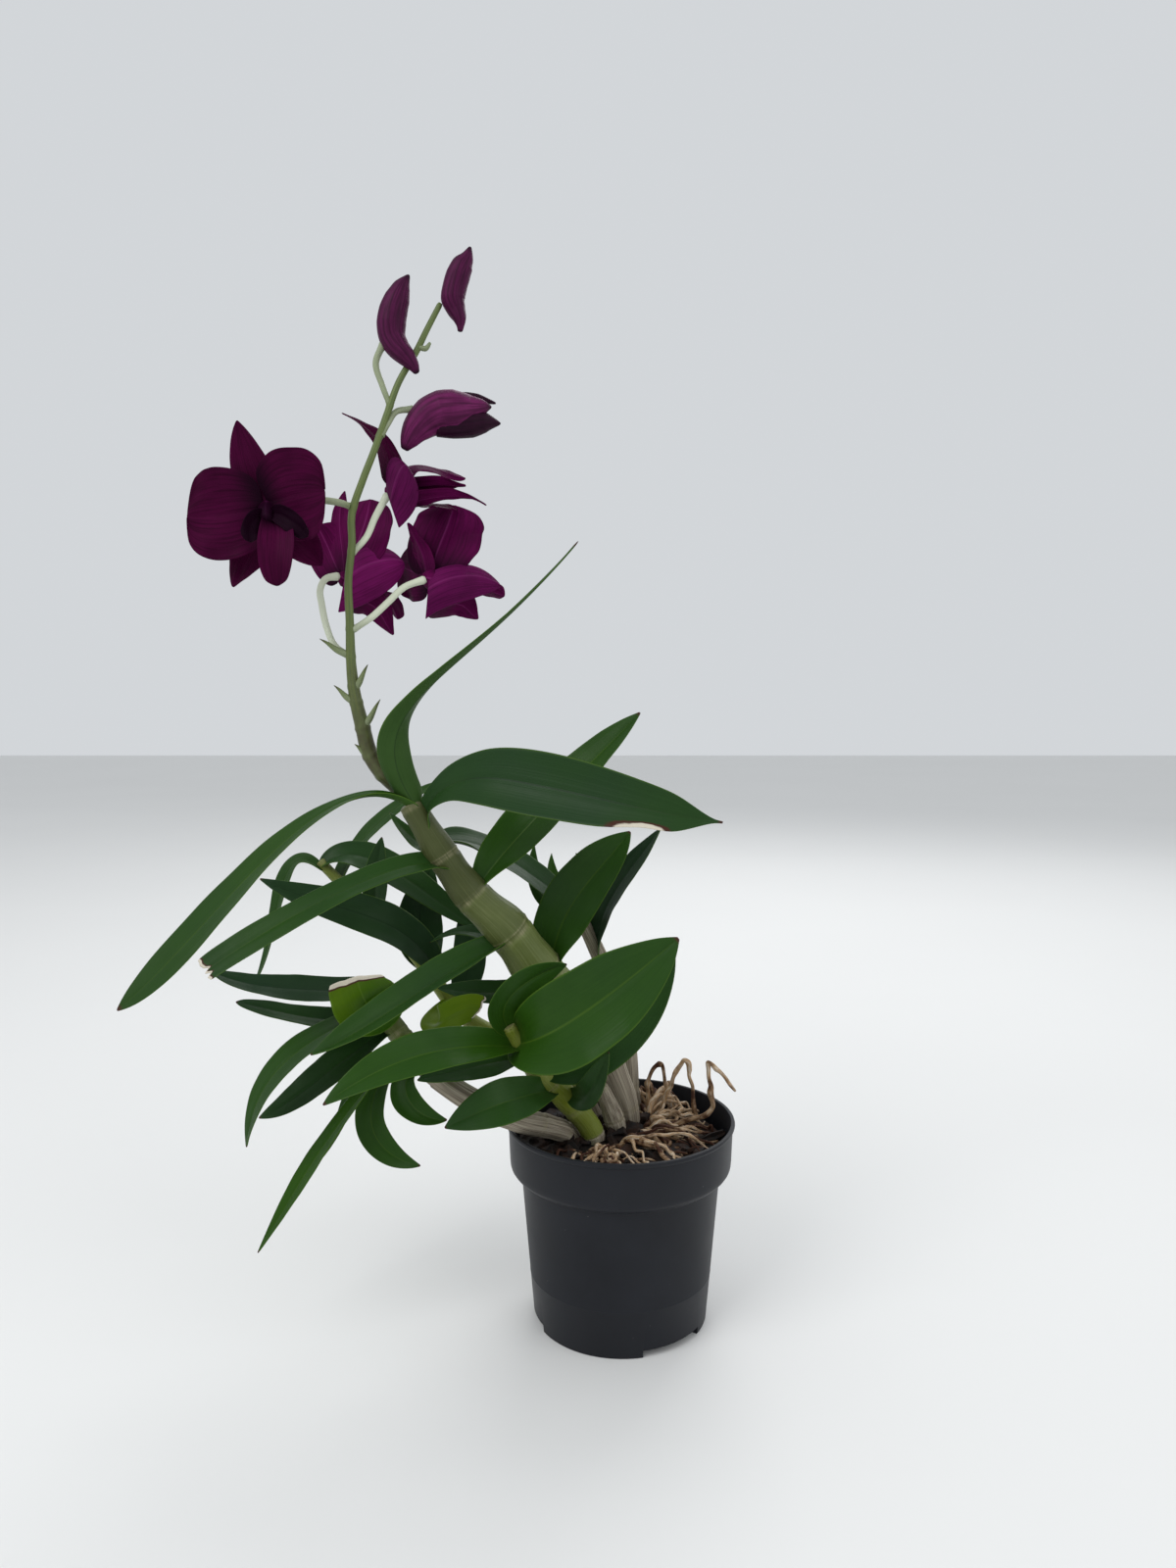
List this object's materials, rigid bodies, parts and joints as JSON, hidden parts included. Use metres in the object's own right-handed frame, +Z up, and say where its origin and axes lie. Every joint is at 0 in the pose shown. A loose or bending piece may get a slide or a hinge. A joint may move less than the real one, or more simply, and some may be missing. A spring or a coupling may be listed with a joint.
{
  "type": "potted dendrobium orchid",
  "caption": "Dendrobium orchid with leaning canes, strap leaves and a spike of purple blooms and buds, in a round nursery pot of bark.",
  "frame": {"origin": "centre of the pot's flat underside, on the surface it stands on", "axes": "+Z up, +X to the right of the show side, away from which the main cane leans, +Y to the back"},
  "size_m": [0.2657, 0.1282, 0.4784],
  "materials": {
    "pot_plastic": "charcoal moulded plastic, satin",
    "bark": "damp dark bark chips and fibre",
    "dry_root": "dry tan and brown aerial roots",
    "green_cane": "olive green ribbed cane with papery sheath edges",
    "dry_cane": "grey-white wrinkled dry sheath",
    "flower_stalk": "yellow-green smooth stalk, paler at the flower stalks",
    "old_leaf": "dark green leathery leaf, satin",
    "young_leaf": "bright green leathery leaf, satin",
    "petal": "deep magenta-purple velvety petal with fine veins",
    "bud": "dusky purple bud with brownish tip"
  },
  "bodies": {
    "root": {"bark": "bark", "bloom_left": "petal", "bloom_rear": "petal", "bloom_right": "petal", "bloom_upper": "petal", "bud_half_open": "bud", "bud_middle": "bud", "bud_top": "bud", "dry_roots": "dry_root", "flower_spike": "flower_stalk", "front_shoot": "green_cane", "leaf_back_right": "young_leaf", "leaf_back_tip_a": "young_leaf", "leaf_back_tip_b": "young_leaf", "leaf_back_tip_c": "young_leaf", "leaf_bract_left": "old_leaf", "leaf_centre_dark": "old_leaf", "leaf_centre_yellow": "young_leaf", "leaf_curl": "young_leaf", "leaf_far_left_front": "old_leaf", "leaf_far_left_rear": "old_leaf", "leaf_front_inner_right": "young_leaf", "leaf_front_left": "young_leaf", "leaf_front_low_left": "young_leaf", "leaf_front_low_right": "young_leaf", "leaf_front_right": "young_leaf", "leaf_front_under_left": "young_leaf", "leaf_front_up": "young_leaf", "leaf_hang_long": "young_leaf", "leaf_hang_mid": "young_leaf", "leaf_hang_short": "young_leaf", "leaf_left_dark": "old_leaf", "leaf_left_hook": "young_leaf", "leaf_lower_left": "young_leaf", "leaf_mid_left": "old_leaf", "leaf_mid_right": "young_leaf", "leaf_rear_arch": "old_leaf", "leaf_rear_broad": "young_leaf", "leaf_rear_right": "old_leaf", "leaf_rear_right_dark": "old_leaf", "leaf_second_left": "old_leaf", "leaf_small_upright": "young_leaf", "leaf_stub_cut": "young_leaf", "leaf_third_right": "old_leaf", "leaf_tip_left": "young_leaf", "leaf_tip_right": "young_leaf", "leaf_tip_up_right": "young_leaf", "leaf_top_left": "old_leaf", "leaf_top_right": "old_leaf", "leaf_top_upright": "old_leaf", "left_cane": "dry_cane", "main_cane": "green_cane", "old_stub": "dry_cane", "pot": "pot_plastic", "rear_cane": "dry_cane", "rear_left_shoot": "green_cane"}
  },
  "joints": []
}
